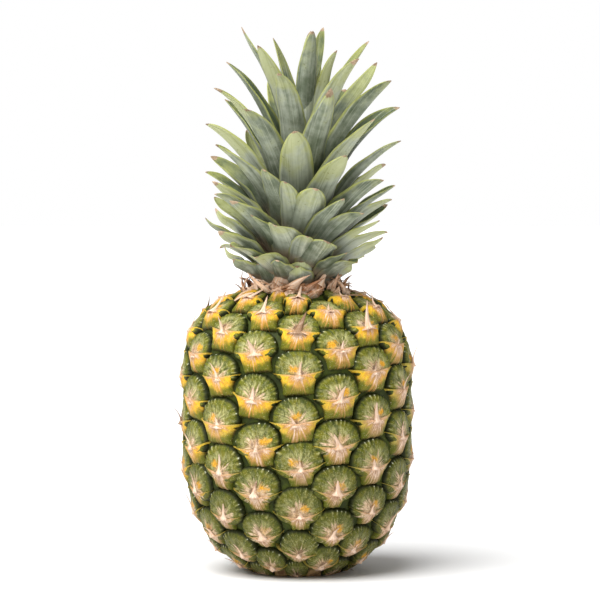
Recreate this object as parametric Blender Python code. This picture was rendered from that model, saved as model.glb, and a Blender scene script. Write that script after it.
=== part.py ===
"""A whole pineapple: the fruit with its eyes, the cut stalk it stands on, and its leafy crown.

The origin is the middle of the spot that the fruit rests on, +Z runs up through the crown, and
the side with the tidiest eyes faces -Y. All sizes are in metres and all angles in radians.
"""

import math
import random

import bmesh
import bpy
from mathutils import Vector

# Fruit: a barrel whose widest ring lies a little above its middle.
FRUIT_HEIGHT = 0.1555
FRUIT_RADIUS = 0.0635
WIDEST_HEIGHT = 0.084
LOWER_POWER = 2.8
UPPER_POWER = 4.4
END_ROUNDING = 0.44
REST_RADIUS = 0.024
NECK_RADIUS = 0.0225
RING_SIDES = 34

# Eyes: one every 2/17 of a turn, each a little higher than the last, in 17 upright files.
EYE_FILES = 17
EYE_TURN = 2 * math.tau / EYE_FILES
EYE_RISE = 0.00147
FIRST_EYE_ARC = 0.1030
END_MARGIN = 0.0035
END_RIM = 0.0010
END_FADE = 0.0120
EYE_DEPTH = 0.0038
EYE_FLAT = 0.60
EYE_SHOULDER = 0.15
LEFT_STEP = 8
RIGHT_STEP = 9

# Cut stalk, set into a shallow hollow in the underside.
STALK_RADIUS = 0.0117
STALK_HEIGHT = 0.0030
CLEARANCE = 0.0003

STALK_SIDES = 32
STALK_EDGE = math.radians(40)

# Crown: a short tapered stem that carries one spiral of leaves.
CROWN_LEAVES = 57
GOLDEN_TURN = math.tau * (1 - 1 / ((1 + math.sqrt(5)) / 2))
CROWN_START = FRUIT_HEIGHT + CLEARANCE
CROWN_STEM_HEIGHT = 0.050
CROWN_STEM_RADIUS = 0.0185
CROWN_STEM_TIP = 0.0024
CROWN_STEM_RINGS = (0.0, 0.35, 0.7, 1.0)
CROWN_STEM_SIDES = 16
CROWN_LEAN = 0.007
LEAN_POWER = 1.5
CROWN_HEIGHT = 0.141
CROWN_SPREAD = 0.054

# Lines of the leaves, by their share of the spiral: 0 is the outermost leaf and 1 the heart.
FOOT_CLIMB = 0.94
FOOT_START = 0.0010
TIP_START = 0.010
TIP_CROWDING = 1.12
OUTER_CLOSENESS = 0.90
OUTER_OPENING = 1.9
INNER_START = 0.45
INNER_CLOSING = 0.56
SPREAD_POWER = 5
SPREAD_ROUNDING = 0.6
OUTER_ARCH = 0.06
ADDED_ARCH = 0.12
ARCH_POWER = 0.7

# Blades of the leaves.
LEAF_THICKNESS = 0.0008
LEAF_WIDTH = 0.0235
LEAF_BASE_SPREAD = math.radians(26)
LEAF_WIDEST_SPREAD = math.radians(60)
LEAF_SPREAD_RATE = 2.2
LEAF_CHANNEL = 0.30
LEAF_CHANNEL_RATE = 2.0
LEAF_SEGMENTS = 8
LENGTH_LOSS = 0.16
OUTER_WIDTH = 0.72
MIDDLE_WIDTH = 0.45
WIDTH_LUCK = 0.18
HEART_START = 0.75
HEART_NARROWING = 0.35
FOOT_FULLNESS = 0.8
BELLY_RATE = 0.5
BELLY_END = 0.4
TIP_POWER = 3.0
TIP_ROUNDING = 0.8
TIP_THINNING = 0.6
STEEPEST_SPREAD = 0.95


def make_material(name, colour, roughness):
    """A plain Principled material; nothing on a pineapple is metallic."""
    material = bpy.data.materials.new(name)
    material.use_nodes = True
    shader = material.node_tree.nodes["Principled BSDF"]
    shader.inputs["Base Color"].default_value = (*colour, 1.0)
    shader.inputs["Roughness"].default_value = roughness
    shader.inputs["Metallic"].default_value = 0.0
    return material


def add_object(name, bm, material):
    """Turn a bmesh into a smooth-shaded object that wears one material."""
    bmesh.ops.recalc_face_normals(bm, faces=bm.faces)
    mesh = bpy.data.meshes.new(name)
    bm.to_mesh(mesh)
    bm.free()
    mesh.shade_smooth()
    mesh.materials.append(material)
    piece = bpy.data.objects.new(name, mesh)
    bpy.context.scene.collection.objects.link(piece)
    return piece


# ---------------------------------------------------------------- fruit

def barrel_span(height, end_radius, power):
    """Height at which one half of the barrel would close, given its real end radius."""
    return height / (1 - (end_radius / FRUIT_RADIUS) ** (1 / END_ROUNDING)) ** (1 / power)


def barrel_radius(height):
    """Outer radius of the fruit, over the crests of its eyes, at one height."""
    if height < WIDEST_HEIGHT:
        reach = WIDEST_HEIGHT - height
        part = reach / barrel_span(WIDEST_HEIGHT, REST_RADIUS, LOWER_POWER)
        power = LOWER_POWER
    else:
        reach = height - WIDEST_HEIGHT
        part = reach / barrel_span(FRUIT_HEIGHT - WIDEST_HEIGHT, NECK_RADIUS, UPPER_POWER)
        power = UPPER_POWER
    return FRUIT_RADIUS * (1 - part ** power) ** END_ROUNDING


def barrel_outline(steps=1200):
    """Points (arc, radius, height) up the side, from the resting ring to the crown's neck."""
    points = []
    arc = 0.0
    for i in range(steps + 1):
        height = FRUIT_HEIGHT * (0.5 - 0.5 * math.cos(math.pi * i / steps))
        radius = barrel_radius(height)
        if points:
            arc += math.hypot(radius - points[-1][1], height - points[-1][2])
        points.append((arc, radius, height))
    return points


def rind_point(outline, azimuth, arc, sink):
    """Point on the rind at an azimuth and an arc length, sunk below the eyes' crests."""
    low, high = 0, len(outline) - 1
    while high - low > 1:
        middle = (low + high) // 2
        if outline[middle][0] > arc:
            high = middle
        else:
            low = middle
    (arc_a, radius_a, height_a), (arc_b, radius_b, height_b) = outline[low], outline[high]
    share = (arc - arc_a) / (arc_b - arc_a)
    rise = (height_b - height_a) / (arc_b - arc_a)
    widening = (radius_b - radius_a) / (arc_b - arc_a)
    sink *= min(1.0, arc / END_FADE, (outline[-1][0] - arc) / END_FADE)
    radius = radius_a + share * (radius_b - radius_a) - sink * rise
    height = height_a + share * (height_b - height_a) + sink * widening
    return radius * math.sin(azimuth), -radius * math.cos(azimuth), height


def eye_outline(index, last_arc):
    """Names and places of the six groove corners round an eye, anticlockwise from the right.

    A corner is the middle of three neighbouring eyes: "upright" ones have the eye, its right
    neighbour and the one above it; "mirrored" ones have its left neighbour instead.
    """
    above = LEFT_STEP + RIGHT_STEP
    names = [
        ("mirrored", index - LEFT_STEP), ("upright", index), ("mirrored", index),
        ("upright", index - RIGHT_STEP), ("mirrored", index - above), ("upright", index - above)]
    corners = []
    for kind, lowest in names:
        side, step = (1, RIGHT_STEP) if kind == "upright" else (-1, LEFT_STEP)
        azimuth = lowest * EYE_TURN + side * math.tau / EYE_FILES / 3
        arc = FIRST_EYE_ARC + (lowest + (step + above) / 3) * EYE_RISE
        arc = min(max(arc, END_RIM), last_arc - END_RIM)
        corners.append(((kind, lowest), azimuth, arc))
    return corners


def add_ring(bm, radius, height):
    """A level ring of vertices round the fruit's axis."""
    turns = [math.tau * i / RING_SIDES for i in range(RING_SIDES)]
    return [bm.verts.new((radius * math.sin(a), -radius * math.cos(a), height)) for a in turns]


def azimuth_of(vertex):
    """Angle of a vertex round the fruit, from the front towards +X, 0 to a full turn."""
    return math.atan2(vertex.co.x, -vertex.co.y) % math.tau


def open_rim(bm, is_upper):
    """Vertices round the open upper or lower edge of the eyes, in order of azimuth."""
    edges = {edge for edge in bm.edges if edge.is_boundary}
    edges = {edge for edge in edges if (edge.verts[0].co.z > WIDEST_HEIGHT) == is_upper}
    first = min((edge.verts[0] for edge in edges), key=azimuth_of)
    rim = [first]
    while edges:
        link = next(edge for edge in rim[-1].link_edges if edge in edges)
        edges.remove(link)
        rim.append(link.other_vert(rim[-1]))
    rim.pop()
    ahead = math.remainder(azimuth_of(rim[1]) - azimuth_of(first), math.tau)
    return rim if ahead > 0 else [first] + rim[:0:-1]


def stitch(bm, lower, upper):
    """Close the band between two rims with triangles, keeping step with their azimuths."""
    i = j = 0
    while i < len(lower) or j < len(upper):
        low, high = lower[i % len(lower)], upper[j % len(upper)]
        next_low, next_high = lower[(i + 1) % len(lower)], upper[(j + 1) % len(upper)]
        turn_low = azimuth_of(next_low) + math.tau * ((i + 1) // len(lower))
        turn_high = azimuth_of(next_high) + math.tau * ((j + 1) // len(upper))
        if j == len(upper) or (i < len(lower) and turn_low < turn_high):
            bm.faces.new((low, next_low, high))
            i += 1
        else:
            bm.faces.new((low, next_high, high))
            j += 1


def make_fruit():
    """The fruit: one solid with raised eyes, a flat resting ring and a hollow for the stalk."""
    outline = barrel_outline()
    lowest = math.ceil((END_MARGIN - FIRST_EYE_ARC) / EYE_RISE)
    highest = math.floor((outline[-1][0] - END_MARGIN - FIRST_EYE_ARC) / EYE_RISE)
    bm = bmesh.new()
    grooves = {}
    for index in range(lowest, highest + 1):
        azimuth = index * EYE_TURN
        arc = FIRST_EYE_ARC + index * EYE_RISE
        middle = bm.verts.new(rind_point(outline, azimuth, arc, 0.0))
        crest, groove = [], []
        for name, corner_azimuth, corner_arc in eye_outline(index, outline[-1][0]):
            if name not in grooves:
                place = rind_point(outline, corner_azimuth, corner_arc, EYE_DEPTH)
                grooves[name] = bm.verts.new(place)
            groove.append(grooves[name])
            turn = azimuth + EYE_FLAT * math.remainder(corner_azimuth - azimuth, math.tau)
            rise = arc + EYE_FLAT * (corner_arc - arc)
            crest.append(bm.verts.new(rind_point(outline, turn, rise, EYE_SHOULDER * EYE_DEPTH)))
        for i in range(6):
            j = (i + 1) % 6
            bm.faces.new((middle, crest[i], crest[j]))
            bm.faces.new((crest[i], groove[i], groove[j], crest[j]))
    floor = add_ring(bm, STALK_RADIUS + CLEARANCE, STALK_HEIGHT + CLEARANCE)
    mouth = add_ring(bm, STALK_RADIUS + CLEARANCE, 0.0)
    rest = add_ring(bm, REST_RADIUS, 0.0)
    neck = add_ring(bm, NECK_RADIUS, FRUIT_HEIGHT)
    foot, top = open_rim(bm, False), open_rim(bm, True)
    for lower, upper in ((floor, mouth), (mouth, rest), (rest, foot), (top, neck)):
        stitch(bm, lower, upper)
    bm.faces.new(floor)
    bm.faces.new(neck)
    skin = make_material("pineapple_skin", (0.42, 0.33, 0.06), 0.6)
    return add_object("fruit_body", bm, skin)


def make_stalk():
    """The stub of the stalk that the fruit was cut from, flush with the resting ring."""
    bm = bmesh.new()
    bmesh.ops.create_cone(
        bm, cap_ends=True, segments=STALK_SIDES, radius1=STALK_RADIUS, radius2=STALK_RADIUS,
        depth=STALK_HEIGHT)
    bmesh.ops.translate(bm, verts=bm.verts, vec=(0, 0, STALK_HEIGHT / 2))
    wood = make_material("cut_stalk", (0.45, 0.36, 0.20), 0.85)
    piece = add_object("stalk_stub", bm, wood)
    piece.data.set_sharp_from_angle(angle=STALK_EDGE)
    return piece


# ---------------------------------------------------------------- crown

def lean(point):
    """Bend the crown slightly towards +X, more so towards its top."""
    rise = max(0.0, point[2] - CROWN_START) / CROWN_HEIGHT
    return Vector((point[0] + CROWN_LEAN * rise ** LEAN_POWER, point[1], point[2]))


def crown_stem_radius(share):
    """Radius of the crown's stem, where share runs from its foot (0) to its tip (1)."""
    return CROWN_STEM_RADIUS + share * (CROWN_STEM_TIP - CROWN_STEM_RADIUS)


def make_crown_stem():
    """The tapered stem that all the crown's leaves grow from."""
    bm = bmesh.new()
    sides = CROWN_STEM_SIDES
    rings = []
    for share in CROWN_STEM_RINGS:
        radius = crown_stem_radius(share)
        height = CROWN_START + share * CROWN_STEM_HEIGHT
        turns = [math.tau * i / sides for i in range(sides)]
        ring = [lean((radius * math.sin(a), -radius * math.cos(a), height)) for a in turns]
        rings.append([bm.verts.new(place) for place in ring])
    for lower, upper in zip(rings, rings[1:]):
        for i in range(sides):
            j = (i + 1) % sides
            bm.faces.new((lower[i], lower[j], upper[j], upper[i]))
    bm.faces.new(reversed(rings[0]))
    bm.faces.new(rings[-1])
    return add_object("crown_stem", bm, make_material("crown_stem", (0.55, 0.52, 0.30), 0.7))


def leaf_curve(share):
    """Three control points (radius, height) of a leaf's line, outermost (0) to innermost (1)."""
    foot_radius = crown_stem_radius(FOOT_CLIMB * share) + CLEARANCE + LEAF_THICKNESS
    foot_height = CROWN_START + FOOT_START + FOOT_CLIMB * share * CROWN_STEM_HEIGHT
    closeness = max(OUTER_CLOSENESS - OUTER_OPENING * share, (share - INNER_START) / INNER_CLOSING)
    tip_radius = CROWN_SPREAD * (1 - closeness ** SPREAD_POWER) ** SPREAD_ROUNDING
    tip_height = CROWN_START + TIP_START + (CROWN_HEIGHT - TIP_START) * share ** TIP_CROWDING
    out, up = tip_radius - foot_radius, tip_height - foot_height
    arch = OUTER_ARCH + ADDED_ARCH * share ** ARCH_POWER
    middle_radius = max(foot_radius, foot_radius + out / 2 - arch * up)
    middle = (middle_radius, foot_height + up / 2 + arch * out)
    return (foot_radius, foot_height), middle, (tip_radius, tip_height)


def curve_point(controls, t):
    """Point and direction of a quadratic curve through the plane of radius and height."""
    (r0, z0), (r1, z1), (r2, z2) = controls
    radius = (1 - t) ** 2 * r0 + 2 * t * (1 - t) * r1 + t * t * r2
    height = (1 - t) ** 2 * z0 + 2 * t * (1 - t) * z1 + t * t * z2
    along_r = 2 * (1 - t) * (r1 - r0) + 2 * t * (r2 - r1)
    along_z = 2 * (1 - t) * (z1 - z0) + 2 * t * (z2 - z1)
    length = math.hypot(along_r, along_z)
    return radius, height, (along_r / length, along_z / length)


def make_leaf(number, material):
    """One crown leaf: a thin blade, widest in its lower third, that narrows to a point."""
    share = number / (CROWN_LEAVES - 1)
    dice = random.Random(number)
    controls = leaf_curve(share)
    azimuth = number * GOLDEN_TURN
    length = 1 - LENGTH_LOSS * dice.random() * (1 - share)
    fullness = OUTER_WIDTH + MIDDLE_WIDTH * share * (1 - share) + WIDTH_LUCK * dice.random()
    narrowing = HEART_NARROWING * max(0.0, share - HEART_START) / (1 - HEART_START)
    width = LEAF_WIDTH * fullness * (1 - narrowing)
    bm = bmesh.new()
    edges, crests = [], []
    for i in range(LEAF_SEGMENTS):
        t = i / LEAF_SEGMENTS
        radius, height, (along_r, along_z) = curve_point(controls, t * length)
        taper = (FOOT_FULLNESS + BELLY_RATE * min(t, BELLY_END)) * (1 - t ** TIP_POWER) ** TIP_ROUNDING
        opening = (LEAF_WIDEST_SPREAD - LEAF_BASE_SPREAD) * min(1.0, LEAF_SPREAD_RATE * t)
        wanted = math.asin(min(STEEPEST_SPREAD, width * taper / (2 * radius)))
        spread = min(LEAF_BASE_SPREAD + opening, wanted)
        half = LEAF_THICKNESS / 2 * (1 - TIP_THINNING * t)
        lift = LEAF_CHANNEL * radius * spread * min(1.0, LEAF_CHANNEL_RATE * t)
        pair = []
        for side in (-1, 1):
            turn = azimuth + side * spread
            r = radius - lift * along_z
            z = height + lift * along_r
            pair.append(bm.verts.new(lean((r * math.sin(turn), -r * math.cos(turn), z))))
        edges.append(pair)
        pair = []
        for side in (-1, 1):
            r = radius - side * half * along_z
            z = height + side * half * along_r
            pair.append(bm.verts.new(lean((r * math.sin(azimuth), -r * math.cos(azimuth), z))))
        crests.append(pair)
    radius, height, _ = curve_point(controls, length)
    tip = bm.verts.new(lean((radius * math.sin(azimuth), -radius * math.cos(azimuth), height)))
    for i in range(LEAF_SEGMENTS - 1):
        for side in (0, 1):
            for face in (0, 1):
                corners = (edges[i][side], crests[i][face], crests[i + 1][face], edges[i + 1][side])
                bm.faces.new(corners)
    for side in (0, 1):
        for face in (0, 1):
            bm.faces.new((edges[-1][side], crests[-1][face], tip))
    bm.faces.new((edges[0][0], crests[0][0], edges[0][1], crests[0][1]))
    return add_object(f"crown_leaf_{number + 1:02d}", bm, material)


def make_crown():
    """The crown: its stem, then its leaves from the lowest and outermost to the heart."""
    make_crown_stem()
    green = make_material("crown_leaf", (0.20, 0.27, 0.13), 0.6)
    for number in range(CROWN_LEAVES):
        make_leaf(number, green)


def main():
    """Clear the scene and build the pineapple."""
    for old in list(bpy.data.objects):
        bpy.data.objects.remove(old, do_unlink=True)
    make_fruit()
    make_stalk()
    make_crown()


main()
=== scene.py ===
"""The looks of a whole pineapple: its rind, bracts and papery points, its stalk and its crown.

Laid out as a Blender add-on and run as a script. The frame it loads gives every size and place;
lengths are in metres, +Z is up and the front faces -Y.
"""

import math
import random

import bmesh
import bpy
import numpy as np
from bpy.props import FloatProperty, FloatVectorProperty, PointerProperty
from bpy.types import Operator, Panel, PropertyGroup
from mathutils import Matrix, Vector


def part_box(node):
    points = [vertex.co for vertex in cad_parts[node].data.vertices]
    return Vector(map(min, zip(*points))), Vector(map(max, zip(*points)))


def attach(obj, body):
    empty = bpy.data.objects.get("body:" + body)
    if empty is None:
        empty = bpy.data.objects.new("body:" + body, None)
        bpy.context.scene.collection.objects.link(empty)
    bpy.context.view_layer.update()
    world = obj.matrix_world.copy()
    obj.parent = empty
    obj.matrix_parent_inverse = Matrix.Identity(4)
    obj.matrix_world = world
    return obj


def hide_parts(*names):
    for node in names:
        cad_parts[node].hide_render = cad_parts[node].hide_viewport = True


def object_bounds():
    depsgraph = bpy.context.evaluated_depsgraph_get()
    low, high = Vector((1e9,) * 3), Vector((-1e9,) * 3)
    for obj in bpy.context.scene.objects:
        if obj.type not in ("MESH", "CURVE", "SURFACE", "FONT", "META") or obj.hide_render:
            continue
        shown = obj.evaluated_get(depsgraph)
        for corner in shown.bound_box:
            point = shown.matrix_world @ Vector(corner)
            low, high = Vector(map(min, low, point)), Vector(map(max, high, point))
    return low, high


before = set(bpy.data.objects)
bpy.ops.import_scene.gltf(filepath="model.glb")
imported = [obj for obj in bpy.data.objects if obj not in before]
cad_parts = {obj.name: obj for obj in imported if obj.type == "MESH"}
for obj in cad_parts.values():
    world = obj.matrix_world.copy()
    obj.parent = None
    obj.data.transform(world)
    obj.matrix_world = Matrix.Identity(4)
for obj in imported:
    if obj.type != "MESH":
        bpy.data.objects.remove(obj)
CAD_BOX = [list(corner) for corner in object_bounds()]
FRUIT_LOW, FRUIT_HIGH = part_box("fruit_body")
STALK_LOW, STALK_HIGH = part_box("stalk_stub")
STEM_LOW, STEM_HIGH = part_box("crown_stem")

bl_info = {
    "name": "Pineapple",
    "version": (1, 0, 0),
    "blender": (4, 5, 0),
    "location": "View3D > Sidebar > Pineapple",
    "description": "Builds a whole pineapple with its rind, bracts, stalk and crown",
    "category": "Object",
}

# The barrel: the same curve that the frame's fruit follows.
FRUIT_HEIGHT = FRUIT_HIGH[2] - FRUIT_LOW[2]
FRUIT_RADIUS = 0.0635
WIDEST_HEIGHT = 0.084
LOWER_POWER = 2.8
UPPER_POWER = 4.4
END_ROUNDING = 0.44
REST_RADIUS = 0.024
NECK_RADIUS = 0.0225

# Eyes stand in 17 upright files; each is 2/17 of a turn on from the last and a little higher.
EYE_FILES = 17
EYE_TURN = 2 * math.tau / EYE_FILES
EYE_RISE = 0.00147
FIRST_EYE_ARC = 0.1030
EYE_SCALE_RADIUS = 0.0600

# Crown: one golden-angle spiral of leaves on a short tapered stem.
CROWN_LEAVES = sum(name.startswith("crown_leaf_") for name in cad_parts)
GOLDEN_TURN = math.tau * (1 - 1 / ((1 + math.sqrt(5)) / 2))
CROWN_START = STEM_LOW[2]
CROWN_STEM_HEIGHT = STEM_HIGH[2] - STEM_LOW[2]
CROWN_STEM_RADIUS = 0.0185
CROWN_STEM_TIP = 0.0024
CROWN_LEAN = 0.007
CROWN_HEIGHT = 0.141
CROWN_SPREAD = 0.054


def length_property(name, description, value):
    return FloatProperty(name=name, description=description, default=value, unit="LENGTH")


class PineappleSizes(PropertyGroup):
    """The sizes of the fruit's fine surface and of its leaves."""

    eye_half_width: length_property("Eye half width", "Half the width of an eye's dome", 0.0124)
    eye_rise: length_property(
        "Eye upper height", "How far a dome reaches above its middle", 0.0118)
    eye_fall: length_property(
        "Eye lower height", "How far a dome reaches below its middle", 0.0064)
    eye_depth: length_property(
        "Groove depth", "Depth of the grooves below the domes' crests", 0.0042)
    bract_length: length_property(
        "Bract length", "Height of the fleshy bract below each dome", 0.0114)
    point_length: length_property(
        "Point length", "Usual length of the papery point above each bract", 0.0080)
    leaf_width: length_property(
        "Leaf width", "Width of a crown leaf where it is widest", 0.0235)
    leaf_thickness: length_property(
        "Leaf thickness", "Thickness of a crown leaf at its midrib", 0.0011)
    leaf_channel: FloatProperty(
        name="Leaf channel", default=0.42,
        description="How far a leaf's margins turn up, as a share of its half width")


def colour_property(name, description, value):
    return FloatVectorProperty(
        name=name, description=description, subtype="COLOR", size=3, default=value)


class PineappleColours(PropertyGroup):
    """The colours of the rind, the bracts, the dry parts and the leaves."""

    # groove: the skin's own deep green, also used for the painted shade between the beads of a
    # dome's rim
    groove: colour_property("Groove", "Deep green between the eyes", (0.022, 0.032, 0.002))
    # crease: blackish green painted shade, laid where pieces meet and shade falls between them
    crease: colour_property("Crease", "Blackish green where pieces meet", (0.008, 0.013, 0.001))
    rim: colour_property("Rim", "Green of a dome's beaded rim", (0.040, 0.058, 0.003))
    lobe: colour_property("Lobe", "Mid green of a dome's lobes", (0.135, 0.145, 0.005))
    # bloom: the real bloom's colour, also used for the painted highlights on the domes' bead crests
    bloom: colour_property("Bloom", "Grey-green bloom over a dome", (0.52, 0.50, 0.22))
    cream: colour_property("Cream", "Pinkish tan at a dome's middle", (0.70, 0.44, 0.25))
    amber: colour_property("Amber", "Orange-yellow patch beside a scar", (0.78, 0.38, 0.02))
    scar: colour_property("Scar", "Dark brown scar of the old flower", (0.12, 0.045, 0.02))
    bract: colour_property("Bract", "Bright yellow of a ripe bract", (0.95, 0.66, 0.015))
    bract_orange: colour_property("Bract veins", "Orange of a bract's veins", (0.90, 0.46, 0.02))
    bract_dull: colour_property("Dull bract", "Olive tan of a low bract", (0.52, 0.40, 0.07))
    bract_foot: colour_property("Bract foot", "Green of a bract's foot", (0.100, 0.125, 0.004))
    papery: colour_property("Papery", "Pinkish tan of papery tissue", (0.70, 0.43, 0.26))
    leaf: colour_property("Leaf", "Green of a leaf under its bloom", (0.085, 0.115, 0.058))
    leaf_bloom: colour_property("Leaf bloom", "Whitish bloom on a leaf's back", (0.57, 0.61, 0.50))
    leaf_margin: colour_property("Leaf margin", "Yellow-green of the margins", (0.40, 0.42, 0.09))
    # dry: the brown of withered parts, also used on the crown stem as painted shade
    dry: colour_property("Dry brown", "Brown of withered tips and scraps", (0.22, 0.12, 0.055))
    floor: colour_property("Floor", "Pale floor under the fruit", (0.93, 0.93, 0.93))


# ---------------------------------------------------------------- materials

class Value:
    """A socket of a finish; arithmetic on it adds Math nodes."""

    def __init__(self, finish, socket):
        self.finish = finish
        self.socket = socket

    def math(self, operation, *others):
        return self.finish.node("ShaderNodeMath", {"operation": operation}, (self, *others))

    def __add__(self, other):
        return self.math("ADD", other)

    def __sub__(self, other):
        return self.math("SUBTRACT", other)

    def __rsub__(self, other):
        return self.finish.node("ShaderNodeMath", {"operation": "SUBTRACT"}, (other, self))

    def __mul__(self, other):
        return self.math("MULTIPLY", other)

    def __truediv__(self, other):
        return self.math("DIVIDE", other)

    def __pow__(self, other):
        return self.math("POWER", other)

    def __abs__(self):
        return self.math("ABSOLUTE")

    __radd__ = __add__
    __rmul__ = __mul__

    def step(self, low, high):
        """0 below low, 1 above high and smooth between them (low may be the larger)."""
        return self.finish.node(
            "ShaderNodeMapRange", {"interpolation_type": "SMOOTHSTEP"},
            {"Value": self, "From Min": low, "From Max": high})

    def hump(self, middle, width):
        """1 at a middle value, falling to 0 one width either side of it."""
        return abs(self - middle).step(width, 0.0)


class Finish:
    """A material under construction round one Principled shader."""

    def __init__(self, name):
        self.material = bpy.data.materials.new(name)
        self.material.use_nodes = True
        self.tree = self.material.node_tree
        self.shader = self.tree.nodes["Principled BSDF"]

    def node(self, kind, settings=None, inputs=(), output=0):
        """Any node: its settings are made first, then its sockets are set or linked."""
        made = self.tree.nodes.new(kind)
        for key, setting in (settings or {}).items():
            setattr(made, key, setting)
        pairs = inputs.items() if isinstance(inputs, dict) else enumerate(inputs)
        for key, given in pairs:
            self.plug(made.inputs[key], given)
        return Value(self, made.outputs[output])

    def plug(self, socket, given):
        """Link a value to a socket, or set a constant on it."""
        if isinstance(given, Value):
            self.tree.links.new(given.socket, socket)
        elif socket.type == "RGBA":
            socket.default_value = (*given, 1.0)
        else:
            socket.default_value = given

    def set(self, **sockets):
        """Plug the shader's sockets, named with _ for a space."""
        for name, given in sockets.items():
            self.plug(self.shader.inputs[name.replace("_", " ")], given)

    def attribute(self, name):
        """A number that the mesh carries at its points."""
        return self.node("ShaderNodeAttribute", {"attribute_name": name}, output="Fac")

    def blend(self, share, first, second):
        """Colour between first (share 0) and second (share 1)."""
        return self.node(
            "ShaderNodeMix", {"data_type": "RGBA"}, {0: share, 6: first, 7: second}, output=2)

    def place(self):
        """The point on the object, in metres."""
        return self.node("ShaderNodeTexCoord", output="Object")

    def vector(self, x, y, z):
        return self.node("ShaderNodeCombineXYZ", inputs=(x, y, z))

    def axis(self, vector, letter):
        """One coordinate of a vector."""
        return self.node("ShaderNodeSeparateXYZ", inputs=(vector,), output=letter)

    def direction(self, x, y, size, shift):
        """A vector of one size along the direction of x and y, moved by a shift."""
        way = self.node("ShaderNodeVectorMath", {"operation": "NORMALIZE"},
                        (self.vector(x, y, 0.0),))
        return self.node("ShaderNodeVectorMath", {"operation": "MULTIPLY_ADD"},
                         (way, (size, size, size), shift))

    def noise(self, vector, scale, detail, roughness=0.55):
        """Cloudy variation about 0.5."""
        return self.node(
            "ShaderNodeTexNoise",
            inputs={"Vector": vector, "Scale": scale, "Detail": detail, "Roughness": roughness})

    def bump(self, height, distance, strength, over=None):
        """Surface relief from a height, on top of another relief if one is given."""
        inputs = {"Height": height, "Distance": distance, "Strength": strength}
        if over is not None:
            inputs["Normal"] = over
        return self.node("ShaderNodeBump", inputs=inputs)


def groove_finish(colours):
    """Deep green skin, seen in the grooves between the eyes and at the fruit's two ends."""
    f = Finish("rind_groove")
    place = f.place()
    cloud = f.noise(place, 200.0, 4.0)
    grain = f.noise(place, 1100.0, 2.0)
    colour = f.blend(cloud.step(0.35, 0.70), colours.groove, (0.050, 0.068, 0.003))
    colour = f.blend(grain.step(0.62, 0.75) * 0.35, colour, colours.scar)
    height = f.axis(place, "Z")
    dry = (height + cloud * 0.010 - 0.005).step(0.014, 0.004)
    worn = f.blend(cloud.step(0.4, 0.6), colours.dry, (0.52, 0.33, 0.16))
    colour = f.blend(dry * 0.9, colour, worn)
    f.set(Base_Color=colour, Roughness=0.55 + 0.25 * cloud)
    f.set(Normal=f.bump(cloud + grain * 0.4, 0.0006, 0.8))
    f.set(Specular_IOR_Level=0.25)
    return f.material


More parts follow.
